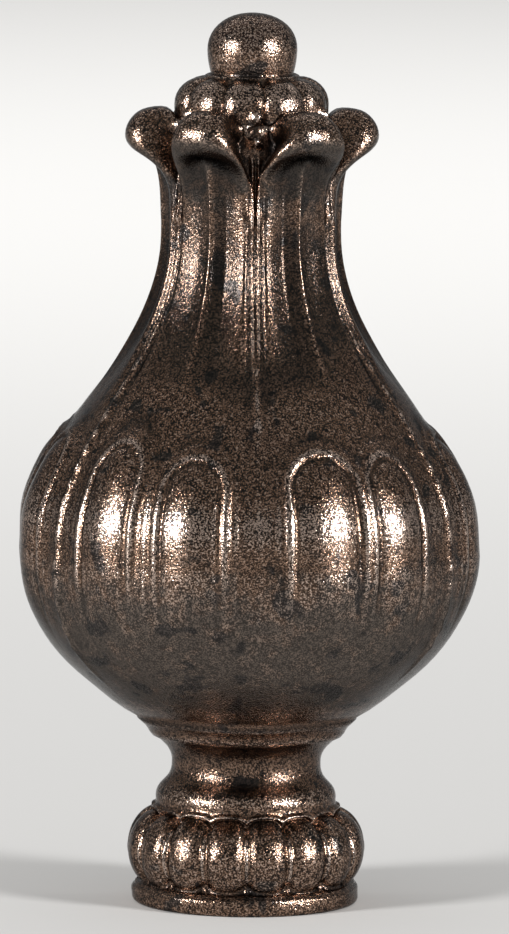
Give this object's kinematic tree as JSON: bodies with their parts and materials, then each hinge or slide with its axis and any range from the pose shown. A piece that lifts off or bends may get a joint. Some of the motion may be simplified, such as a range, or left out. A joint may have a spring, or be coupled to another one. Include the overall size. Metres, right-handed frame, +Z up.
{
  "type": "cast metal finial",
  "caption": "Small cast bronze-finished lamp finial: gadrooned foot, lobed bulb, leafed neck opening to curled tips, lobed collar and a flattened ball.",
  "frame": {"origin": "middle of the flat underside, on the finial's own axis", "axes": "+Z up along the finial's axis; -Y is the seam between two leaves that faces the picture's viewer, +X to the viewer's right"},
  "size_m": [0.033, 0.0326, 0.064],
  "materials": {
    "antique_bronze": "dark brown antique bronze patina over cast metal, rubbed to copper on the high parts"
  },
  "bodies": {
    "root": {"finial_casting": "antique_bronze"}
  },
  "joints": []
}
